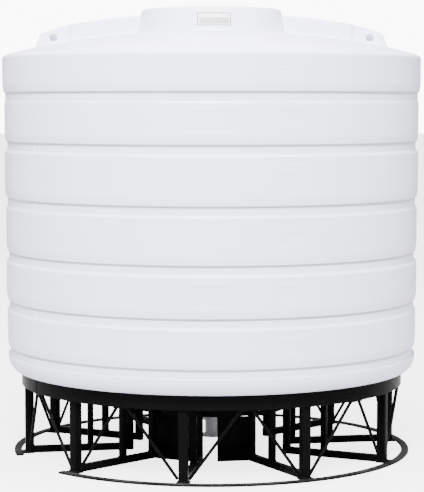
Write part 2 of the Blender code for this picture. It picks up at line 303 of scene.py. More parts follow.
def barrel_outline():
    """The outside from the top down, with each groove's corners and the bottom corner rounded."""
    points = [(STAVE_R[0], SPLIT_Z), (STAVE_R[0], SPLIT_Z - TOP_FLAT)]
    radii = [0.0]
    for top, above, below in zip(GROOVE_TOPS, STAVE_R, STAVE_R[1:]):
        floor_r = above - GROOVE_DEPTH
        points += [
            (above, top + TAPER_HEIGHT), (above - TAPER_IN, top), (floor_r, top - GROOVE_STEP),
            (floor_r, top - GROOVE_HEIGHT), (below, top - GROOVE_HEIGHT - GROOVE_LEDGE),
        ]
        radii += GROOVE_ROUNDS
    outline = eased([*points, (STAVE_R[-1], RIM_Z + CORNER_HEIGHT)], [*radii, 0.0])
    corner_r = STAVE_R[-1] - RIM_R - RIM_FLAT
    for step in range(1, CORNER_STEPS + 1):
        angle = math.radians(90) * step / CORNER_STEPS
        outline.append((
            RIM_R + RIM_FLAT + corner_r * math.cos(angle),
            RIM_Z + CORNER_HEIGHT * (1 - math.sin(angle)),
        ))
    return [*outline, (RIM_R, RIM_Z)]


def barrel_rows():
    """The outline with extra rows where the sunk panels have their edges."""
    wanted = sorted(
        {
            z for *_, top, low in PANELS for z in (
                top + PANEL_LIP, top, top - PANEL_EDGE, top - PANEL_EDGE - PANEL_LIP,
                low + PANEL_EDGE + PANEL_LIP, low + PANEL_EDGE, low, low - PANEL_LIP,
            )
        },
        reverse=True,
    )
    outline = barrel_outline()
    rows = [outline[0]]
    for before, after in zip(outline, outline[1:]):
        for z in wanted:
            if after[1] + ROW_CLEAR < z < before[1] - ROW_CLEAR:
                share = (before[1] - z) / (before[1] - after[1])
                rows.append((before[0] + (after[0] - before[0]) * share, z))
        rows.append(after)
    return rows


def barrel_azimuths():
    """Even columns with extra ones at the edges of the panels and of the parting fins."""
    edge, lip = math.degrees(PANEL_EDGE / TANK_R), math.degrees(PANEL_LIP / TANK_R)
    chosen = {round(360 / COLUMNS * index, 4) for index in range(COLUMNS)}
    for middle, width, *_ in PANELS:
        for side in (-1, 1):
            chosen |= {
                round((middle + side * (width / 2 - step)) % 360, 4)
                for step in (-lip, 0.0, edge, edge + lip)
            }
    for middle in PARTING:
        chosen |= {round((middle + side * FIN_HALF) % 360, 4) for side in (-1, 0, 1)}
    return [math.radians(degrees) for degrees in sorted(chosen)]


def signed(degrees):
    return (degrees + 180.0) % 360.0 - 180.0


def pressed(azimuth, height):
    """How far the mould's panels, fins and slight waviness press the outside in at a place."""
    degrees = math.degrees(azimuth)
    depth = 0.0
    for middle, width, top, bottom in PANELS:
        beside = (width / 2 - abs(signed(degrees - middle))) * math.radians(TANK_R)
        inside = min(beside, top - height, height - bottom)
        if inside > 0:
            depth += PANEL_DEPTH * min(inside / PANEL_EDGE, 1.0)
    for middle in PARTING:
        if abs(signed(degrees - middle)) < FIN_HALF / 2:
            for top in GROOVE_TOPS:
                if top - GROOVE_HEIGHT - 0.002 < height < top - GROOVE_STEP:
                    depth -= FIN_HEIGHT
    fade = min((SPLIT_Z - height) / WAVE_FADE, (height - RIM_Z) / WAVE_FADE, 1.0)
    place = Vector((
        math.sin(azimuth) * WAVE_ACROSS, math.cos(azimuth) * WAVE_ACROSS, height * WAVE_UP,
    ))
    return depth + WAVE_DEPTH * (0.5 + 0.5 * noise.noise(place)) * max(fade, 0.0)


def pattern(tree, scale, detail, roughness=0.5, stretch=(1.0, 1.0, 1.0)):
    """Noise over the object's own coordinates, which may be stretched along its axes."""
    place = add_node(tree, "ShaderNodeTexCoord")
    mapping = add_node(tree, "ShaderNodeMapping", ("Scale", stretch))
    wire(tree, place, "Object", mapping, "Vector")
    field = add_node(
        tree, "ShaderNodeTexNoise", ("Scale", scale), ("Detail", detail), ("Roughness", roughness),
    )
    wire(tree, mapping, "Vector", field, "Vector")
    return field


def spread_between(tree, source, output, from_low, from_high, low, high):
    """A Map Range node, clamped and smooth."""
    node = add_node(
        tree, "ShaderNodeMapRange", ("From Min", from_low), ("From Max", from_high),
        ("To Min", low), ("To Max", high), interpolation_type="SMOOTHSTEP",
    )
    wire(tree, source, output, node, "Value")
    return node


def new_group(name, inputs, outputs):
    """A node group with inputs as (name, number) and outputs as (name, kind), and its two ends."""
    group = bpy.data.node_groups.new(name, "ShaderNodeTree")
    sockets = group.interface
    for title, number in inputs:
        socket = sockets.new_socket(name=title, in_out="INPUT", socket_type="NodeSocketFloat")
        socket.default_value = number
    for title, kind in outputs:
        sockets.new_socket(name=title, in_out="OUTPUT", socket_type=f"NodeSocket{kind}")
    return group, add_node(group, "NodeGroupInput"), add_node(group, "NodeGroupOutput")


def make_moulded_skin():
    """Cloudy tone, streaks down the wall and the fine orange peel of a turned moulding."""
    group, entry, leave = new_group(
        "moulded_skin", [("Tone Spread", 0.05), ("Peel", 0.15)],
        [("Tone", "Float"), ("Gloss Breakup", "Float"), ("Normal", "Vector")],
    )
    clouds = pattern(group, 1.3, 5.0, 0.55, (0.9, 0.9, 1.3))
    streaks = pattern(group, 1.6, 6.0, 0.6, (3.5, 3.5, 0.5))
    mixed = sums(group, "MULTIPLY_ADD", (streaks, "Fac"), 0.8, (clouds, "Fac"))
    centred = sums(group, "SUBTRACT", mixed, 0.9)
    tone = sums(group, "MULTIPLY_ADD", centred, (entry, "Tone Spread"), 1.0)
    wire(group, *tone, leave, "Tone")
    wire(group, pattern(group, 9.0, 4.0), "Fac", leave, "Gloss Breakup")
    peel = pattern(group, 55.0, 3.0, 0.45)
    waves = pattern(group, 2.4, 2.0, 0.4)
    height = sums(group, "MULTIPLY_ADD", (waves, "Fac"), 9.0, (peel, "Fac"))
    bump = add_node(group, "ShaderNodeBump", ("Distance", 0.004))
    wire(group, entry, "Peel", bump, "Strength")
    wire(group, *height, bump, "Height")
    wire(group, bump, "Normal", leave, "Normal")
    return group


moulded_skin = make_moulded_skin()


def groove_shade_ramp(tree):
    """Painted shade under each groove's ledge that darkens the white, as a ramp over the height."""
    place = add_node(tree, "ShaderNodeTexCoord")
    height = add_node(tree, "ShaderNodeSeparateXYZ")
    wire(tree, place, "Object", height, "Vector")
    ramp = add_node(tree, "ShaderNodeValToRGB")
    share = spread_between(tree, height, "Z", RIM_Z, SPLIT_Z, 0.0, 1.0)
    share.interpolation_type = "LINEAR"
    wire(tree, share, 0, ramp, 0)
    stops = [(RIM_Z, 1.0)]
    for top in reversed(GROOVE_TOPS):
        stops += [(top + rise, value) for rise, value in GROOVE_SHADE]
    ramp.color_ramp.elements.remove(ramp.color_ramp.elements[1])
    for index, (z, value) in enumerate(stops):
        at = (z - RIM_Z) / (SPLIT_Z - RIM_Z)
        stop = ramp.color_ramp.elements.new(at) if index else ramp.color_ramp.elements[0]
        stop.position = at
        stop.color = (value, value, value, 1.0)
    return ramp


def polyethylene(name, colour, tone_spread=0.05, peel=0.15, shine=(0.34, 0.46), painted_shade=False):
    """White rotational moulding: a soft sheen, a little light carried under the skin, and painted
    shade under the grooves' ledges when asked for.
    """
    paint, tree, shader = new_paint(name)
    set_inputs(
        shader, ("Subsurface Weight", 0.10), ("Subsurface Radius", (0.010, 0.009, 0.008)),
        ("Subsurface Scale", 0.5),
    )
    skin = add_node(
        tree, "ShaderNodeGroup", ("Tone Spread", tone_spread), ("Peel", peel),
        node_tree=moulded_skin,
    )
    tint = add_node(tree, "ShaderNodeVectorMath", (0, colour), operation="SCALE")
    tone = (skin, "Tone")
    # Painted shade: the ramp darkens the colour under each groove's ledge.
    if painted_shade:
        tone = sums(tree, "MULTIPLY", tone, (groove_shade_ramp(tree), "Color"))
    wire(tree, *tone, tint, "Scale")
    wire(tree, tint, "Vector", shader, "Base Color")
    dullness = spread_between(tree, skin, "Gloss Breakup", 0.3, 0.7, *shine)
    wire(tree, dullness, 0, shader, "Roughness")
    wire(tree, skin, "Normal", shader, "Normal")
    return paint


MOULDED_WHITE = (0.77, 0.80, 0.93)
tank_white = polyethylene("tank_white", MOULDED_WHITE)
# The barrel's white has painted shade under each groove's ledge.
barrel_white = polyethylene("barrel_white", MOULDED_WHITE, painted_shade=True)


def shown(name, mesh, paint, replaced=(), sharp=35.0):
    """Links a mesh as a piece, smooth but for edges sharper than an angle."""
    piece = bpy.data.objects.new(name, mesh)
    yard.link(piece)
    mesh.materials.append(paint)
    mesh.shade_smooth()
    mesh.set_sharp_from_angle(angle=math.radians(sharp))
    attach(piece, "root")
    if replaced:
        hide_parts(*replaced)


def show_white(name, mesh, node, paint=tank_white, sharp=35.0):
    """Shows a white moulded piece in place of its node."""
    shown(name, mesh, paint, [node], sharp)


barrel_inside_r = STAVE_R[-1] - GROOVE_DEPTH - WALL
barrel_inside = [
    (RIM_R, RIM_Z + WALL), (RIM_R + RIM_FLAT, RIM_Z + WALL),
    (barrel_inside_r, RIM_Z + CORNER_HEIGHT), (barrel_inside_r, SPLIT_Z),
]
barrel_outside = barrel_rows()
barrel_mesh = turned_mesh(
    "barrel_skin", [*barrel_outside, *barrel_inside], barrel_azimuths(), pressed,
    len(barrel_outside),
)
show_white("barrel_skin", barrel_mesh, "tank_barrel", barrel_white)


# Tank dome: the round shoulder and the low dome, moulded in one with the barrel. Its top falls
# gently from the crown to the shoulder, so that rain runs off.

DOME_TOP = 3.645
dome_outside = eased(
    [
        (0.600, DOME_TOP), (0.720, DOME_TOP), (1.140, 3.596), (1.530, 3.526), (1.785, 3.463),
        (1.822, 3.440), (1.822, SPLIT_Z),
    ],
    [0.5, 1.6, 1.2, 0.060, 0.040],
    steps=8,
)
dome_inside = [
    (1.772, SPLIT_Z), (1.772, 3.440), (1.522, 3.510), (1.132, 3.580), (0.720, 3.630),
    (0.600, 3.630),
]
dome_mesh = turned_mesh("dome_skin", [*dome_outside, *dome_inside], even_azimuths(240))
show_white("dome_skin", dome_mesh, "tank_dome")


# Crown: the wide neck moulded on the dome. Its foot runs out over the dome in a soft fillet, and
# its top is sunk round the manway.

CROWN_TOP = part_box("tank_crown")[1][2]
LID_SEAT = CROWN_TOP - 0.030
crown_outside = eased(
    [
        (0.235, LID_SEAT), (0.299, LID_SEAT), (0.299, CROWN_TOP), (0.560, CROWN_TOP),
        (0.606, CROWN_TOP - 0.006), (0.642, DOME_TOP + 0.004), (0.700, DOME_TOP + 0.0012),
    ],
    [0.006, 0.006, 0.120, 0.045, 0.040],
    steps=8,
)
crown_inside = [
    (0.690, DOME_TOP + 0.0006), (0.618, DOME_TOP + 0.0006), (0.604, LID_SEAT - WALL),
    (0.575, CROWN_TOP - WALL), (0.313, CROWN_TOP - WALL), (0.313, LID_SEAT - WALL),
    (0.235, LID_SEAT - WALL),
]
crown_mesh = turned_mesh("crown_skin", [*crown_outside, *crown_inside], even_azimuths(144))
show_white("crown_skin", crown_mesh, "tank_crown")


# Blank card: a thin white sticker on the front of the crown, with a plain grey field inside a thin
# dark line. It is printed vinyl, pressed onto the sloping wall.

CARD_TURN = math.radians(2.0)
CARD_WIDTH, CARD_LOW, CARD_TOP = 0.300, 3.690, 3.812
CARD_LINE = 0.0065
CARD_INSET = 0.007
FIELD_SIDE, FIELD_LOW, FIELD_TOP = 0.016, 0.014, 0.066
CARD_PROUD, CARD_PLATE, INK_PLATE = 0.0005, 0.0012, 0.0003


def between(table, x):
    """A value read off a table of (place, value) pairs, in rising order of place."""
    if x <= table[0][0]:
        return table[0][1]
    for (x0, v0), (x1, v1) in zip(table, table[1:]):
        if x <= x1:
            return v0 + (v1 - v0) * (x - x0) / (x1 - x0)
    return table[-1][1]


crown_wall = [(z, r) for r, z in reversed(crown_outside) if r > 0.55]


def bent_strip(shape, left, right, low, top, proud, thick):
    """A closed thin plate on the crown's wall, between two sideways places and two heights."""
    across = max(2, round((right - left) / 0.010))
    up = max(1, round((top - low) / 0.020))
    sides = [left + (right - left) * column / across for column in range(across + 1)]
    layers = []
    for offset in (proud, proud + thick):
        layers.append([])
        for row in range(up + 1):
            z = low + (top - low) * row / up
            radius = between(crown_wall, z) + offset
            layers[-1].append([
                shape.verts.new(on_ring(radius, CARD_TURN + side / radius, z)) for side in sides
            ])
    for layer in layers:
        for low_row, high_row in zip(layer, layer[1:]):
            for column in range(across):
                shape.faces.new((
                    low_row[column], low_row[column + 1], high_row[column + 1], high_row[column],
                ))
    rims = []
    for layer in layers:
        rim = [*layer[0], *(row[-1] for row in layer[1:]), *reversed(layer[-1][:-1])]
        rims.append([*rim, *(row[0] for row in reversed(layer[1:-1]))])
    stitch(shape, *rims)


card_shape = bmesh.new()
half_card = CARD_WIDTH / 2
bent_strip(card_shape, -half_card, half_card, CARD_LOW, CARD_TOP, CARD_PROUD, CARD_PLATE)
card_white = polyethylene("card_white", (0.86, 0.86, 0.85), 0.03, 0.03, (0.25, 0.32))
shown("blank_card", mesh_of(card_shape, "blank_card"), card_white)

line_shape = bmesh.new()
line_out = half_card - CARD_INSET
line_low, line_top = CARD_LOW + CARD_INSET, CARD_TOP - CARD_INSET
ink_proud = CARD_PROUD + CARD_PLATE
for strip in (
    (-line_out, line_out, line_low, line_low + CARD_LINE),
    (-line_out, line_out, line_top - CARD_LINE, line_top),
    (-line_out, CARD_LINE - line_out, line_low + CARD_LINE, line_top - CARD_LINE),
    (line_out - CARD_LINE, line_out, line_low + CARD_LINE, line_top - CARD_LINE),
):
    bent_strip(line_shape, *strip, ink_proud, INK_PLATE)
field_shape = bmesh.new()
bent_strip(
    field_shape, -line_out + FIELD_SIDE, line_out - FIELD_SIDE, line_low + FIELD_LOW,
    line_low + FIELD_TOP, ink_proud, INK_PLATE,
)


def printed(name, lightest, darkest):
    """Ink with slightly uneven cover."""
    ink, tree, shader = new_paint(name)
    shade = spread_between(tree, pattern(tree, 60.0, 3.0), "Fac", 0.3, 0.8, lightest, darkest)
    wire(tree, shade, 0, shader, "Base Color")
    set_inputs(shader, ("Roughness", 0.35))
    return ink


card_ink, card_grey = printed("card_ink", 0.02, 0.05), printed("card_grey", 0.36, 0.46)
shown("blank_card_line", mesh_of(line_shape, "blank_card_line"), card_ink)
shown("blank_card_field", mesh_of(field_shape, "blank_card_field"), card_grey)


# Lifting lugs: a rib each side of the crown, moulded with the dome. A thick block and an end post
# stand either side of a thinner web, and a crane's hook goes through the five-sided eye in it.

LUG_ROOT = 0.640
LUG_TOP = (
    (0.600, 3.806), (0.640, 3.805), (0.900, 3.782), (1.150, 3.745), (1.350, 3.700),
    (1.430, 3.669), (1.462, 3.660), (1.488, 3.650), (1.503, 3.622), (1.530, 3.540),
)
LUG_EYE = (1.380, 3.583)
LUG_EYE_R = 0.042
EYE_FALL = 0.75
WEB_HALF, BLOCK_HALF, EYE_HALF = 0.046, 0.072, 0.040
LUG_HALF = (
    (0.600, WEB_HALF), (1.070, WEB_HALF), (1.112, BLOCK_HALF), (1.208, BLOCK_HALF),
    (1.242, EYE_HALF), (1.428, EYE_HALF), (1.450, BLOCK_HALF), (1.500, BLOCK_HALF - 0.004),
    (1.530, BLOCK_HALF - 0.014),
)
LUG_FOOT, FOOT_SHARE = 0.024, 0.45
LUG_CREST, CREST_SHARE = 0.016, 0.30
LUG_DRAFT = 0.04
LUG_SEAT = 0.0008
CUTTER_HALF = 0.12
quarter_turn = [math.radians(90) * step / 5 for step in range(6)]

dome_heights = [(radius, height) for radius, height in dome_outside if height > SPLIT_Z + 0.02]


def lug_section(x):
    """Half of a section across the rib, from its foot to the middle of its top, as (y, z)."""
    top = between(LUG_TOP, x)
    half = between(LUG_HALF, x)
    rise = top - between(dome_heights, math.hypot(x, half))
    foot = min(LUG_FOOT, FOOT_SHARE * rise)
    crest = min(LUG_CREST, CREST_SHARE * rise)
    draft = LUG_DRAFT * rise
    points = []
    for angle in quarter_turn:
        y = half + draft + foot * (1 - math.sin(angle))
        low = between(dome_heights, math.hypot(x, y)) + LUG_SEAT + foot * (1 - math.cos(angle))
        points.append((y, low))
    for share in (0.25, 0.50, 0.75):
        points.append((half + draft * (1 - share), low + (top - crest - low) * share))
    for angle in quarter_turn:
        points.append((half - crest * (1 - math.cos(angle)), top - crest * (1 - math.sin(angle))))
    return [*points, (0.5 * (half - crest), top + 0.0010), (0.0, top + 0.0014)]


def lug_places():
    """Stations along the rib, closer where its thickness steps."""
    places = [
        LUG_ROOT, 0.712, 0.75, 0.80, 0.86, 0.92, 0.98, 1.03, 1.15, 1.17, 1.28, 1.31, 1.34, 1.37,
        1.39, 1.475, 1.488, 1.496, 1.503, 1.512, 1.521, 1.530,
    ]
    for start, end in ((1.06, 1.124), (1.196, 1.254), (1.416, 1.462)):
        places += [start + (end - start) * step / 10 for step in range(11)]
    return sorted(places)


def at_root(y, z):
    """A point of the rib's inner end, just inside the crown's wall."""
    radius = between(crown_wall, min(z, CROWN_TOP - 0.010)) - 0.006
    return (math.sqrt(radius * radius - y * y), y, z)


def lug_mesh():
    shape = bmesh.new()
    rings = []
    for x in lug_places():
        half = lug_section(x)
        loop = [*half, *((-y, z) for y, z in reversed(half[:-1]))]
        points = [at_root(y, z) if x == LUG_ROOT else (x, y, z) for y, z in loop]
        rings.append([shape.verts.new(point) for point in points])
    skin_rings(shape, rings)
    return mesh_of(shape, "lug")


def eye_cutter():
    """A five-sided bar with blunt corners, across the rib."""
    shape = bmesh.new()
    turns = [math.radians(90 + 72 * corner) for corner in range(5)]
    corners = [Vector((math.cos(turn), math.sin(turn))) * LUG_EYE_R for turn in turns]
    outline = []
    for index, corner in enumerate(corners):
        for other, share, pull in (
            (index - 1, 0.20, 1.0), (index - 1, 0.08, 0.965),
            (index + 1, 0.08, 0.965), (index + 1, 0.20, 1.0),
        ):
            outline.append(corner.lerp(corners[other % 5], share) * pull)
    ends = [
        [shape.verts.new((LUG_EYE[0] + p.x, y, LUG_EYE[1] + p.y - y * EYE_FALL)) for p in outline]
        for y in (-CUTTER_HALF, CUTTER_HALF)
    ]
    skin_rings(shape, ends)
    return mesh_of(shape, "eye_cutter")


def cut_from(mesh, cutter, name):
    """The mesh less the cutter, as a new mesh."""
    base = bpy.data.objects.new("base", mesh)
    tool = bpy.data.objects.new("tool", cutter)
    for helper in (base, tool):
        yard.link(helper)
    cut = base.modifiers.new("cut", "BOOLEAN")
    cut.operation = "DIFFERENCE"
    cut.solver = "EXACT"
    cut.object = tool
    bpy.context.view_layer.update()
    solved = base.evaluated_get(bpy.context.evaluated_depsgraph_get())
    done = bpy.data.meshes.new_from_object(solved)
    done.name = name
    for helper in (base, tool):
        bpy.data.objects.remove(helper, do_unlink=True)
    return done


lug_cut = cut_from(lug_mesh(), eye_cutter(), "lifting_lug")
for name, side in (("lifting_lug_right", 1.0), ("lifting_lug_left", -1.0)):
    lug = lug_cut.copy()
    lug.transform(Matrix.Diagonal((side, 1.0, 1.0, 1.0)))
    if side < 0:
        lug.flip_normals()
    show_white(f"{name}_skin", lug, name, sharp=40.0)


# Manway lid: a moulded screw cover sunk in the crown, with a plain raised middle, a sunk ring and
# finger ribs round it.

LID_R = 0.283
LID_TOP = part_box("manway_lid")[1][2]
LID_UNDER = LID_SEAT + 0.0003
FINGER_RIBS = 30
FINGER_SIZE, FINGER_EDGE = (0.040, 0.009, 0.008), 0.003
FINGER_R, FINGER_SINK = 0.228, 0.0095
lid_outline = eased(
    [
        (0.0, LID_TOP - 0.010), (0.120, LID_TOP - 0.010), (0.128, LID_TOP - 0.003),
        (0.196, LID_TOP - 0.003), (0.206, LID_TOP - 0.012), (0.250, LID_TOP - 0.012),
        (0.256, LID_TOP - 0.008), (LID_R - 0.006, LID_TOP - 0.008), (LID_R, LID_TOP - 0.014),
        (LID_R, LID_UNDER), (0.231, LID_UNDER), (0.231, LID_UNDER - 0.026),
        (0.0, LID_UNDER - 0.026),
    ],
    [0.004, 0.004, 0.005, 0.005, 0.004, 0.004, 0.004, 0.004, 0.001, 0.001, 0.003],
    steps=4,
)


def capped_turn(shape, outline, count):
    """An outline from the axis round to the axis, turned into a closed solid."""
    rings = [
        [shape.verts.new(on_ring(radius, azimuth, height)) for azimuth in even_azimuths(count)]
        for radius, height in outline[1:-1]
    ]
    for pair in zip(rings, rings[1:]):
        stitch(shape, *pair)
    for ring, height in ((rings[0], outline[0][1]), (rings[-1], outline[-1][1])):
        tip = shape.verts.new((0.0, 0.0, height))
        for index in range(count):
            shape.faces.new((ring[index], ring[(index + 1) % count], tip))


def pour(shape, part, place):
    """Moves a small shape to its place and adds it to a larger one."""
    bmesh.ops.transform(part, matrix=place, verts=part.verts)
    mesh = mesh_of(part, "poured")
    shape.from_mesh(mesh)
    bpy.data.meshes.remove(mesh)


def round_edges(shape, offset, segments=2):
    bmesh.ops.bevel(
        shape, geom=shape.edges[:], offset=offset, segments=segments, profile=0.5, affect="EDGES",
    )


def add_block(shape, size, place, edge=0.002):
    """A block with rounded edges."""
    part = bmesh.new()
    bmesh.ops.create_cube(part, size=1.0)
    bmesh.ops.scale(part, vec=size, verts=part.verts)
    round_edges(part, edge)
    pour(shape, part, place)


def facing(radius, azimuth, height):
    """The place of something whose local X points outwards at an azimuth in radians."""
    turn = Matrix.Rotation(azimuth - math.radians(90), 4, "Z")
    return Matrix.Translation(on_ring(radius, azimuth, height)) @ turn


lid_shape = bmesh.new()
capped_turn(lid_shape, lid_outline, 120)
for azimuth in even_azimuths(FINGER_RIBS):
    rib_place = facing(FINGER_R, azimuth, LID_TOP - FINGER_SINK)
    add_block(lid_shape, FINGER_SIZE, rib_place, FINGER_EDGE)
lid_mesh = mesh_of(lid_shape, "manway_lid_skin")
show_white("manway_lid_skin", lid_mesh, "manway_lid")


# Tank cone: the shallow floor of the moulding, which falls 15 degrees to the drain. It lies on the
# frames' sloping arms, and its load goes down through them.

CONE_FALL = math.radians(15)
CONE_SLOPE = math.tan(CONE_FALL)
GAP = 0.0003
DRAIN_R = 0.055
CONE_HOLE = 0.0553


def cone_under(radius):
    """Height of the cone's underside."""
    return RIM_Z - (RIM_R - GAP - radius) * CONE_SLOPE


cone_outline = eased(
    [
        (CONE_HOLE, cone_under(DRAIN_R) + WALL), (RIM_R - GAP, RIM_Z + WALL), (RIM_R - GAP, RIM_Z),
        (1.20, cone_under(1.20)), (0.60, cone_under(0.60)), (CONE_HOLE, cone_under(DRAIN_R)),
    ],
    [0.002, 0.002, 0.0, 0.0],
)
cone_mesh = turned_mesh("cone_skin", cone_outline, even_azimuths(180))
show_white("cone_skin", cone_mesh, "tank_cone")


# Drain: a white moulded nozzle through the middle of the cone, held by a bolted collar, with a
# flange at its foot.

FLANGE_LOW, FLANGE_TOP, FLANGE_R = 0.096, 0.120, 0.085
COLLAR_R = 0.110
NOZZLE_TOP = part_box("outlet_nozzle")[1][2]
COLLAR_TOP = cone_under(COLLAR_R) - 0.030
COLLAR_LOW = COLLAR_TOP - 0.022
BOLT_TALL = 0.008
BOLT_STAND = 0.0042
nozzle_outline = eased(
    [
        (0.040, NOZZLE_TOP), (DRAIN_R, NOZZLE_TOP), (DRAIN_R, COLLAR_TOP), (COLLAR_R, COLLAR_TOP),
        (COLLAR_R, COLLAR_LOW), (0.057, COLLAR_LOW), (0.057, FLANGE_TOP), (FLANGE_R, FLANGE_TOP),
        (FLANGE_R, FLANGE_LOW), (0.040, FLANGE_LOW),
    ],
    [0.002, 0.0, 0.003, 0.003, 0.010, 0.008, 0.003, 0.003],
)


def add_hex(shape, across, place):
    """A six-sided bolt head."""
    part = bmesh.new()
    radius = across / math.sqrt(3)
    bmesh.ops.create_cone(
        part, cap_ends=True, segments=6, radius1=radius, radius2=radius, depth=BOLT_TALL,
    )
    round_edges(part, 0.0008, segments=1)
    pour(shape, part, place)


nozzle_shape = bmesh.new()
nozzle_shape.from_mesh(turned_mesh("nozzle", nozzle_outline, even_azimuths(72)))
for azimuth in even_azimuths(8):
    add_hex(nozzle_shape, 0.017, facing(0.090, azimuth, COLLAR_LOW - BOLT_STAND))
for azimuth in even_azimuths(4):
    add_hex(nozzle_shape, 0.014, facing(0.071, azimuth + 0.4, FLANGE_TOP + BOLT_STAND))
nozzle_mesh = mesh_of(nozzle_shape, "drain_skin")
drain_white = polyethylene("drain_white", (0.80, 0.80, 0.80), 0.12, 0.10, (0.30, 0.42))
show_white("drain_skin", nozzle_mesh, "outlet_nozzle", drain_white)


# Rim band: a rolled steel band that carries the tank's rim, with a narrow lip turned out at its
# top. It is rolled in two halves, butt welded, and sprayed black.

BAND_R = 1.672
BAND_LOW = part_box("top_band")[0][2]
BAND_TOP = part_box("top_band")[1][2]
LIP_R = 1.700
LIP_PLATE = 0.008
BAND_INNER = 1.580
BAND_JOINTS = (-62.0, 118.0)
BEAD_STEP = 0.006
BEAD_RIPPLE, BEAD_CHANCE = 0.10, 0.08
BEAD_END = 0.55
weld_dice = random.Random(7)


def make_shop_paint():
    """Sprayed black paint on mill steel: dust on upward faces, rubbed patches, mill marks."""
    group, entry, leave = new_group(
        "shop_paint", [("Dust", 0.5), ("Rub", 0.3)],
        [("Dust Mask", "Float"), ("Rub Mask", "Float"), ("Gloss Breakup", "Float"),
         ("Normal", "Vector")],
    )
    surface = add_node(group, "ShaderNodeNewGeometry")
    facing_up = add_node(group, "ShaderNodeSeparateXYZ")
    wire(group, surface, "Normal", facing_up, "Vector")
    place = add_node(group, "ShaderNodeSeparateXYZ")
    wire(group, surface, "Position", place, "Vector")
    upward = spread_between(group, facing_up, "Z", 0.35, 0.95, 0.0, 1.0)
    low_down = spread_between(group, place, "Z", 0.02, 0.35, 1.0, 0.35)
    clouds = pattern(group, 5.0, 8.0, 0.65)
    patches = spread_between(group, clouds, "Fac", 0.38, 0.66, 0.15, 1.0)
    settled = sums(group, "MULTIPLY", (upward, 0), (low_down, 0))
    splashed = spread_between(group, place, "Z", 0.0, 0.10, 0.25, 0.0)
    gathered = sums(group, "ADD", settled, (splashed, 0))
    broken = sums(group, "MULTIPLY", gathered, (patches, 0))
    dust = sums(group, "MULTIPLY", broken, (entry, "Dust"))
    wire(group, *dust, leave, "Dust Mask")
    streaks = pattern(group, 11.0, 9.0, 0.7, (1.0, 1.0, 0.35))
    scuffs = spread_between(group, streaks, "Fac", 0.60, 0.72, 0.0, 1.0)
    rub = sums(group, "MULTIPLY", (scuffs, 0), (entry, "Rub"))
    wire(group, *rub, leave, "Rub Mask")
    wire(group, pattern(group, 14.0, 6.0, 0.6), "Fac", leave, "Gloss Breakup")
    peel = pattern(group, 160.0, 3.0)
    mill = pattern(group, 7.0, 4.0)
    height = sums(group, "MULTIPLY_ADD", (mill, "Fac"), 2.5, (peel, "Fac"))
    bump = add_node(group, "ShaderNodeBump", ("Strength", 0.25), ("Distance", 0.0012))
    wire(group, *height, bump, "Height")
    wire(group, bump, "Normal", leave, "Normal")
    return group


shop_paint = make_shop_paint()
BLACK_PAINT = (0.0024, 0.0024, 0.0026)
GREY_PRIMER = (0.055, 0.055, 0.053)
YARD_DUST = (0.040, 0.039, 0.037)
PAINT_IOR = 1.07


def black_steel(name, dust, rub, shine=(0.22, 0.34)):
    """Black painted steel with its own share of dust and of rubbed patches."""
    paint, tree, shader = new_paint(name)
    set_inputs(shader, ("IOR", PAINT_IOR))
    coat = add_node(tree, "ShaderNodeGroup", ("Dust", dust), ("Rub", rub), node_tree=shop_paint)
    colours = (6, (*BLACK_PAINT, 1.0)), (7, (*YARD_DUST, 1.0))
    dusted = add_node(tree, "ShaderNodeMix", *colours, data_type="RGBA")
    wire(tree, coat, "Dust Mask", dusted, 0)
    worn = add_node(tree, "ShaderNodeMix", (7, (*GREY_PRIMER, 1.0)), data_type="RGBA")
    wire(tree, coat, "Rub Mask", worn, 0)
    wire(tree, dusted, 2, worn, 6)
    wire(tree, worn, 2, shader, "Base Color")
    base = spread_between(tree, coat, "Gloss Breakup", 0.3, 0.7, *shine)
    dull = sums(tree, "MULTIPLY_ADD", (coat, "Dust Mask"), 0.5, (base, 0))
    wire(tree, *dull, shader, "Roughness")
    wire(tree, coat, "Normal", shader, "Normal")
    return paint


band_black = black_steel("band_black", 0.20, 0.05)


def along_path(points, closed):
    """The path in even steps, one for each ripple."""
    ends = [*points, points[0]] if closed else points
    spots = []
    for here, after in zip(ends, ends[1:]):
        count = max(1, round((after - here).length / BEAD_STEP))
        spots += [here.lerp(after, index / count) for index in range(count)]
    return spots if closed else [*spots, ends[-1]]


def add_weld(shape, points, radius, closed=True):
    """A rippled weld bead along a path."""
    spots = along_path([Vector(point) for point in points], closed)
    count = len(spots)
    rings = []
    for index, spot in enumerate(spots):
        before = spots[index - 1] if closed or index else spot
        after = spots[(index + 1) % count] if closed or index < count - 1 else spot
        along = (after - before).normalized()
        side = along.cross(Vector((0.31, 0.17, 0.93))).normalized()
        over = side.cross(along)
        ripple = 1 + BEAD_RIPPLE if index % 2 else 1 - BEAD_RIPPLE
        size = radius * ripple * weld_dice.uniform(1 - BEAD_CHANCE, 1 + BEAD_CHANCE)
        if not closed and index in (0, count - 1):
            size *= BEAD_END
        rings.append([
            shape.verts.new(spot + side * size * math.cos(a) + over * size * math.sin(a))
            for a in even_azimuths(6)
        ])
    skin_rings(shape, rings, closed)


def add_seam(shape, start, end, radius):
    """A straight weld bead from one point to another."""
    add_weld(shape, [start, end], radius, closed=False)


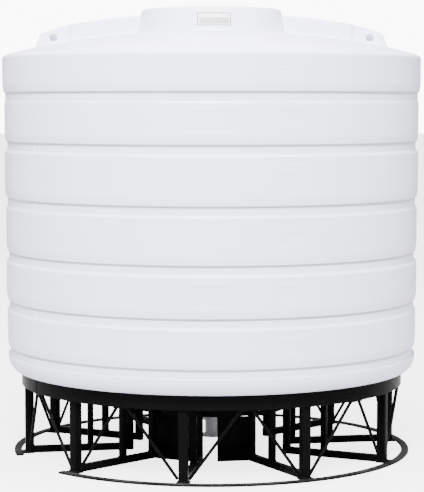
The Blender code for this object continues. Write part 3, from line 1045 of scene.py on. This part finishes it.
band_middle = (BAND_LOW + BAND_TOP) / 2
band_outline = eased(
    [
        (BAND_INNER, band_middle), (BAND_INNER, cone_under(BAND_INNER) - 2 * GAP),
        (RIM_R, BAND_TOP), (LIP_R, BAND_TOP), (LIP_R, BAND_TOP - LIP_PLATE),
        (BAND_R, BAND_TOP - LIP_PLATE), (BAND_R, BAND_LOW), (BAND_INNER, BAND_LOW),
        (BAND_INNER, band_middle),
    ],
    [0.003, 0.0, 0.002, 0.002, 0.004, 0.003, 0.003],
    steps=4,
)[:-1]
band_shape = bmesh.new()
band_shape.from_mesh(turned_mesh("band", band_outline, even_azimuths(240)))
for joint in BAND_JOINTS:
    heights = BAND_LOW + 0.004, BAND_TOP - 0.012
    ends = [on_ring(BAND_R - 0.001, math.radians(joint), z) for z in heights]
    add_seam(band_shape, *ends, 0.004)
band_mesh = mesh_of(band_shape, "band_skin")
shown("band_skin", band_mesh, band_black, ["top_band"], 50.0)


# Floor ring: a flat bar rolled into a ring, laid on the floor and open at one bay. Its paint is
# rubbed through to grey primer where feet and pallet forks have met it.

RING_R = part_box("base_ring")[1][0]
RING_WIDTH = 0.064
RING_PLATE = 0.016
RING_START, RING_END = -46.5, 284.5
RING_STEPS = 300
ring_top_middle = (RING_R - RING_WIDTH / 2, RING_PLATE)
ring_section = eased(
    [
        ring_top_middle, (RING_R, RING_PLATE), (RING_R, 0.0), (RING_R - RING_WIDTH, 0.0),
        (RING_R - RING_WIDTH, RING_PLATE), ring_top_middle,
    ],
    [0.003, 0.002, 0.002, 0.003],
    steps=4,
)[:-1]
ring_shape = bmesh.new()
ring_places = []
for step in range(RING_STEPS + 1):
    azimuth = math.radians(RING_START + (RING_END - RING_START) * step / RING_STEPS)
    ring_places.append([
        ring_shape.verts.new(on_ring(radius, azimuth, z)) for radius, z in ring_section
    ])
skin_rings(ring_shape, ring_places)
ring_black = black_steel("ring_black", 0.70, 0.80, shine=(0.24, 0.40))


def show_steel(name, shape, paint, sharp=50.0):
    """Shows a finished steel shape in place of its node."""
    skin = f"{name}_skin"
    shown(skin, mesh_of(shape, skin), paint, [name], sharp)


show_steel("base_ring", ring_shape, ring_black, sharp=35.0)


# Outer legs: ten 75 mm square tubes under the band, each welded to a foot plate that reaches out
# to the floor ring.

FRAMES = 10
FIRST_AZIMUTH = -8.0
LEG = 0.075
LEG_CORNER = 0.008
LEG_R = 1.6135
FOOT_HALF = 0.052
FOOT_IN = LEG_R - LEG / 2
FOOT_OUT = RING_R - RING_WIDTH - 0.0034
FOOT_EDGE = 0.0025
LEG_WELD, BAND_WELD = 0.0055, 0.0045
leg_black = black_steel("leg_black", 0.15, 0.08)
frame_azimuths = [math.radians(FIRST_AZIMUTH + 360.0 / FRAMES * index) for index in range(FRAMES)]


def tube_section(wide, deep, corner, steps=3):
    """A rectangle with round corners, as (across, other) points."""
    points = []
    for side_x, side_y, start in ((1, 1, 0), (-1, 1, 90), (-1, -1, 180), (1, -1, 270)):
        for step in range(steps + 1):
            angle = math.radians(start + 90 * step / steps)
            points.append((
                side_x * (wide / 2 - corner) + corner * math.cos(angle),
                side_y * (deep / 2 - corner) + corner * math.sin(angle),
            ))
    return points


def add_bar(shape, section, start, end, across, start_cut=None, end_cut=None):
    """A closed bar along a line, its ends square or cut by a plane given as (point, normal)."""
    start, end = Vector(start), Vector(end)
    along = (end - start).normalized()
    other = along.cross(Vector(across)).normalized()
    across = other.cross(along)
    ends = []
    for base, cut in ((start, start_cut), (end, end_cut)):
        ring = []
        for u, v in section:
            point = base + across * u + other * v
            if cut:
                spot, normal = Vector(cut[0]), Vector(cut[1])
                point += along * ((spot - point).dot(normal) / along.dot(normal))
            ring.append(shape.verts.new(point))
        ends.append(ring)
    skin_rings(shape, ends)


def rectangle(x, wide, deep, z):
    """Corners of a level rectangle about the X axis, for a weld round a post."""
    return [
        (x + wide / 2, deep / 2, z), (x - wide / 2, deep / 2, z),
        (x - wide / 2, -deep / 2, z), (x + wide / 2, -deep / 2, z),
    ]


def show_turned(name, shape, azimuth, paint):
    """Turns a finished radial shape to its azimuth and shows it."""
    bmesh.ops.transform(shape, matrix=facing(0.0, azimuth, 0.0), verts=shape.verts)
    show_steel(name, shape, paint)


for index, azimuth in enumerate(frame_azimuths, 1):
    leg_shape = bmesh.new()
    add_bar(
        leg_shape, tube_section(LEG, LEG, LEG_CORNER, 4), (LEG_R, 0.0, RING_PLATE),
        (LEG_R, 0.0, BAND_LOW - GAP), (1, 0, 0),
    )
    plate_middle = Matrix.Translation(((FOOT_IN + FOOT_OUT) / 2, 0.0, RING_PLATE / 2))
    add_block(leg_shape, (FOOT_OUT - FOOT_IN, 2 * FOOT_HALF, RING_PLATE), plate_middle, FOOT_EDGE)
    add_weld(leg_shape, rectangle(LEG_R, LEG + 0.002, LEG + 0.002, RING_PLATE + 0.001), LEG_WELD)
    add_weld(leg_shape, rectangle(LEG_R, LEG + 0.001, LEG + 0.001, BAND_LOW - 0.004), BAND_WELD)
    seam_x, seam_y, seam_z = FOOT_OUT + 0.0017, FOOT_HALF - 0.004, RING_PLATE - 0.001
    add_seam(leg_shape, (seam_x, -seam_y, seam_z), (seam_x, seam_y, seam_z), LEG_WELD)
    show_turned(f"leg_{index:02d}", leg_shape, azimuth, leg_black)


# Radial frames: ten welded trusses under the cone. Each has a base beam on the floor, a hub post,
# an inner post and a sloping arm that the cone lies on, all of square tube.

BEAM = 0.060
FRAME_DEPTH = 0.055
HUB_IN, HUB_OUT = 0.700, 0.760
POST_IN, POST_OUT = 1.055, 1.105
TUBE_CORNER = 0.006
ARM_END = (FOOT_IN + 0.004) * math.cos(math.pi / 60) - 2 * GAP
ARM_HIGH = BEAM - 2 * GAP
POST_WELD, END_WELD = 0.0042, 0.005
frame_black = black_steel("frame_black", 0.12, 0.06)
arm_normal = Vector((-math.sin(CONE_FALL), 0.0, math.cos(CONE_FALL)))


def arm_middle(x):
    """A point on the arm's centre line."""
    return Vector((x, 0.0, cone_under(x) - 2 * GAP - ARM_HIGH / 2))


def frame_shape():
    """One truss, standing along +X."""
    shape = bmesh.new()
    add_bar(
        shape, tube_section(BEAM, FRAME_DEPTH, TUBE_CORNER), (HUB_IN, 0.0, BEAM / 2),
        (FOOT_IN - 2 * GAP, 0.0, BEAM / 2), (0, 0, 1),
    )
    arm_deep = ARM_HIGH * math.cos(CONE_FALL)
    low_end, high_end = arm_middle(HUB_IN), arm_middle(ARM_END)
    add_bar(
        shape, tube_section(arm_deep, FRAME_DEPTH, TUBE_CORNER), low_end, high_end, (0, 0, 1),
        (low_end, (1, 0, 0)), (high_end, (1, 0, 0)),
    )
    for inner, outer in ((HUB_IN, HUB_OUT), (POST_IN, POST_OUT)):
        middle, wide = (inner + outer) / 2, outer - inner
        under = Vector((middle, 0.0, cone_under(middle) - BEAM))
        add_bar(
            shape, tube_section(wide, FRAME_DEPTH, TUBE_CORNER), (middle, 0.0, BEAM), under,
            (1, 0, 0), None, (under, arm_normal),
        )
        post_line = (middle, wide + 0.001, FRAME_DEPTH - 0.004)
        add_weld(shape, rectangle(*post_line, BEAM + 0.001), POST_WELD)
        under_arm = [
            (x, y, z + (x - middle) * CONE_SLOPE)
            for x, y, z in rectangle(*post_line, under.z - 0.001)
        ]
        add_weld(shape, under_arm, POST_WELD)
    end_x = FOOT_IN - 0.003
    for side in (-1, 1):
        y = side * (FRAME_DEPTH / 2 + 0.0005)
        add_seam(shape, (end_x, y, 0.006), (end_x, y, BEAM - 0.004), END_WELD)
    add_seam(shape, (end_x, -FRAME_DEPTH / 2, BEAM), (end_x, FRAME_DEPTH / 2, BEAM), END_WELD)
    return shape


for index, azimuth in enumerate(frame_azimuths, 1):
    show_turned(f"radial_frame_{index:02d}", frame_shape(), azimuth, frame_black)


# Braces: in each bay two round steel bars rise from the legs' feet to a small pad under the band,
# and are welded at both ends.

BRACE = 0.026
PAD_LONG, PAD_WIDE, PAD_PLATE = 0.150, 0.040, 0.010
PAD_R = BAND_R - 0.008 - PAD_WIDE / 2
PAD_TOP = BAND_LOW - GAP
HEAD_SPREAD = 0.054 / PAD_R
FOOT_SIDE = LEG / 2 + 0.010
FOOT_UP = RING_PLATE + BRACE / 2 + 0.004
HALF_BAY = math.pi / FRAMES
HEAD_WELD, HEAD_WELD_R = 0.0036, 0.0125
TOE_WELD, TOE_HALF = 0.006, 0.016
brace_section = [(BRACE / 2 * math.cos(a), BRACE / 2 * math.sin(a)) for a in even_azimuths(20)]
brace_black = black_steel("brace_black", 0.10, 0.10, shine=(0.20, 0.30))

for index, azimuth in enumerate(frame_azimuths, 1):
    middle = azimuth + HALF_BAY
    brace_shape = bmesh.new()
    pad_place = facing(PAD_R, middle, PAD_TOP - PAD_PLATE / 2)
    add_block(brace_shape, (PAD_WIDE, PAD_LONG, PAD_PLATE), pad_place)
    for side in (-1, 1):
        foot_azimuth = middle + side * HALF_BAY
        sideways = on_ring(1.0, foot_azimuth - side * math.radians(90), 0.0)
        foot = on_ring(LEG_R, foot_azimuth, FOOT_UP) + sideways * FOOT_SIDE
        head = on_ring(PAD_R, middle + side * HEAD_SPREAD, PAD_TOP - PAD_PLATE)
        add_bar(brace_shape, brace_section, foot, head, (0, 0, 1), None, (head, (0, 0, 1)))
        collar = [
            head + Vector((HEAD_WELD_R * math.cos(a), HEAD_WELD_R * math.sin(a), -0.001))
            for a in even_azimuths(12)
        ]
        add_weld(brace_shape, collar, HEAD_WELD)
        toe = on_ring(LEG_R, foot_azimuth, RING_PLATE + 0.002) + sideways * (FOOT_SIDE - 0.002)
        out = on_ring(TOE_HALF, foot_azimuth, 0.0)
        add_weld(brace_shape, [toe - out, toe, toe + out], TOE_WELD, closed=False)
    show_steel(f"brace_pair_{index:02d}", brace_shape, brace_black)


# Hub ring: a ten-sided band of flat steel plate that ties the frames' inner ends together, welded
# to each of them on both sides.

HUB_PLATE = 0.012
HUB_HIGH = 0.080
HUB_WELD, HUB_WELD_INSET = 0.0045, 0.006
HUB_CORNER_R = (HUB_IN - GAP) / math.cos(HALF_BAY)
hub_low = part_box("hub_ring")[0][2]
hub_top = hub_low + HUB_HIGH
hub_inner = HUB_CORNER_R - HUB_PLATE
hub_shape = bmesh.new()
hub_outline = [
    (hub_inner, hub_top), (HUB_CORNER_R, hub_top), (HUB_CORNER_R, hub_low), (hub_inner, hub_low),
]
hub_corners = [azimuth + HALF_BAY for azimuth in frame_azimuths]
hub_shape.from_mesh(turned_mesh("hub", hub_outline, hub_corners))
round_edges(hub_shape, 0.002)
for azimuth in frame_azimuths:
    for side in (-1, 1):
        spot = facing(HUB_IN - 0.001, azimuth, 0.0)
        y = side * (FRAME_DEPTH / 2 + 0.001)
        low_end, high_end = (
            spot @ Vector((0.0, y, z)) for z in (hub_low + HUB_WELD_INSET, hub_top - HUB_WELD_INSET)
        )
        add_seam(hub_shape, low_end, high_end, HUB_WELD)
show_steel("hub_ring", hub_shape, frame_black, sharp=40.0)


# Hub panels: two upright plates between the hub posts of the front bays, stitch welded along
# one post and standing on the floor.

HUB_R = (HUB_IN + HUB_OUT) / 2
PANEL_ROUND = 0.0025
STITCHES, STITCH_LOW, STITCH_PITCH, STITCH_LONG = 4, 0.03, 0.085, 0.045
STITCH_WELD = 0.0075
skew_clear = (FRAME_DEPTH / 2 + HUB_PLATE / 2 * math.sin(HALF_BAY)) / math.cos(HALF_BAY) + GAP

for name, side, share in (("hub_panel_left", -1, 0.80), ("hub_panel_right", 1, 0.66)):
    start = on_ring(HUB_R, frame_azimuths[0] + side * 2 * HALF_BAY, 0.0)
    end = on_ring(HUB_R, frame_azimuths[0], 0.0)
    along = (end - start).normalized()
    length = (end - start).length * share - skew_clear
    panel_top = hub_low - GAP
    turn = Matrix.Rotation(math.atan2(along.y, along.x), 4, "Z")
    middle = start + along * (skew_clear + length / 2) + Vector((0, 0, panel_top / 2))
    panel_shape = bmesh.new()
    panel_place = Matrix.Translation(middle) @ turn
    add_block(panel_shape, (length, HUB_PLATE, panel_top), panel_place, PANEL_ROUND)
    for run in range(STITCHES):
        base = start + along * (skew_clear - 0.001)
        base += Vector((0, 0, STITCH_LOW + run * STITCH_PITCH))
        add_seam(panel_shape, base, base + Vector((0, 0, STITCH_LONG)), STITCH_WELD)
    show_steel(name, panel_shape, frame_black)
